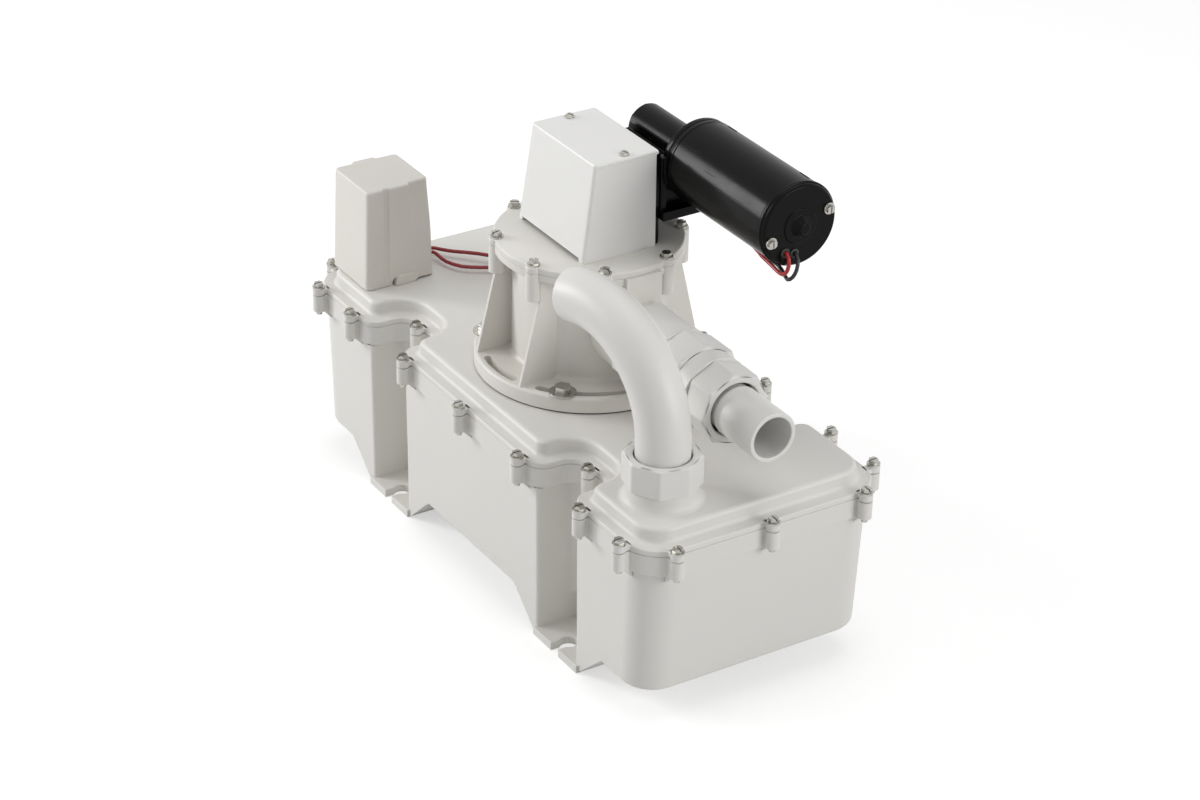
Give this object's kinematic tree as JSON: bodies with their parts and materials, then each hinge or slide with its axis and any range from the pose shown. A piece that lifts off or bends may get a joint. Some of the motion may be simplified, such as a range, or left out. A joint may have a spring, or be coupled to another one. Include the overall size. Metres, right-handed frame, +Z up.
{
  "type": "toilet vacuum generator",
  "caption": "White holding tank on feet with a bellows pump, worm-geared motor and vacuum switch on its lid, a curved inlet pipe and a straight discharge nipple.",
  "frame": {"origin": "centre of the tank's plan, on the floor that the feet stand on", "axes": "+X along the tank towards the end that the discharge nipple points at, +Y towards the motor side, +Z up"},
  "size_m": [0.5138, 0.2262, 0.3576],
  "materials": {
    "white_tank": "satin moulded",
    "white_pump": "satin moulded",
    "white_switch": "satin moulded",
    "white_cover": "smooth satin",
    "white_pvc": "satin PVC",
    "black_paint": "gloss black",
    "screw_steel": "bright",
    "shaft_steel": "ground",
    "rubber_black": "moulded",
    "rod_alloy": "cast",
    "nylon": "moulded",
    "bronze": "turned",
    "brass": "turned",
    "black_plastic": "moulded",
    "copper_winding": "wound and turned",
    "magnet": "ferrite",
    "wire_dark_red": "insulation",
    "wire_red": "insulation",
    "wire_black": "insulation"
  },
  "bodies": {
    "base": {"tank_body": "white_tank", "tank_gasket": "rubber_black", "tank_lid": "white_tank", "lid_screws": "screw_steel", "switch_stem": "brass", "switch_base": "black_plastic", "switch_spring": "shaft_steel", "switch_terminals": "brass", "switch_wire_feed": "wire_dark_red", "switch_wire_return": "wire_dark_red", "pump_housing": "white_pump", "base_seal": "rubber_black", "base_bolts": "screw_steel", "base_washers": "screw_steel", "top_plate": "white_pump", "top_plate_screws": "screw_steel", "bellows": "rubber_black", "inlet_valve": "rubber_black", "dip_tube": "white_pvc", "outlet_valve": "rubber_black", "outlet_union": "white_pvc", "outlet_nut": "white_pvc", "tail_piece": "white_pvc", "hose_nut": "white_pvc", "discharge_nipple": "white_pvc", "nipple_seal": "rubber_black", "inlet_pipe": "white_pvc", "inlet_nut": "white_pvc", "inlet_seal": "rubber_black", "drive_bracket": "black_paint", "bracket_screws": "screw_steel", "gear_housing": "black_paint", "shaft_bearings": "shaft_steel", "wheel_bushes": "bronze", "drive_cover": "white_cover", "cover_screws": "screw_steel", "motor_can": "black_paint", "motor_front_bell": "black_paint", "motor_end_cap": "black_paint", "motor_bolts": "screw_steel", "lead_grommets": "rubber_black", "motor_magnets": "magnet", "brush_holder": "black_plastic", "motor_lead_red": "wire_red", "motor_lead_black": "wire_black", "supply_terminals": "black_plastic"},
    "switch_cap": {"switch_cover": "white_switch"},
    "switch_pin": {"switch_plunger": "brass"},
    "rotor": {"armature": "copper_winding", "commutator": "copper_winding", "worm": "shaft_steel"},
    "crank": {"worm_wheel": "nylon", "crank_shaft": "shaft_steel", "crank_disc": "shaft_steel"},
    "lifter": {"connecting_rod": "rod_alloy", "bellows_plate": "rod_alloy"}
  },
  "joints": [
    {"name": "rotor_spin", "type": "hinge", "parent": "base", "child": "rotor", "pos_m": [0, 0.07, 0.3255], "axis": [1, 0, 0], "continuous": true},
    {"name": "crank_spin", "type": "hinge", "parent": "base", "child": "crank", "pos_m": [0, 0.07, 0.305], "axis": [0, 1, 0], "continuous": true},
    {"name": "lifter_slide", "type": "slide", "parent": "base", "child": "lifter", "axis": [0, 0, 1], "range_m": [-0.007, 0.007], "stiffness_N_per_m": 3000, "deforming": ["bellows"]},
    {"name": "switch_pin_slide", "type": "slide", "parent": "base", "child": "switch_pin", "axis": [0, 0, 1], "range_m": [0, 0.0012], "stiffness_N_per_m": 600, "deforming": ["switch_spring"]},
    {"name": "switch_cap_lift", "type": "slide", "parent": "base", "child": "switch_cap", "axis": [0, 0, 1], "range_m": [0, 0.11]}
  ],
  "couplings": [
    {"joint": "crank_spin", "follows": "rotor_spin", "ratio": -0.033333}
  ]
}
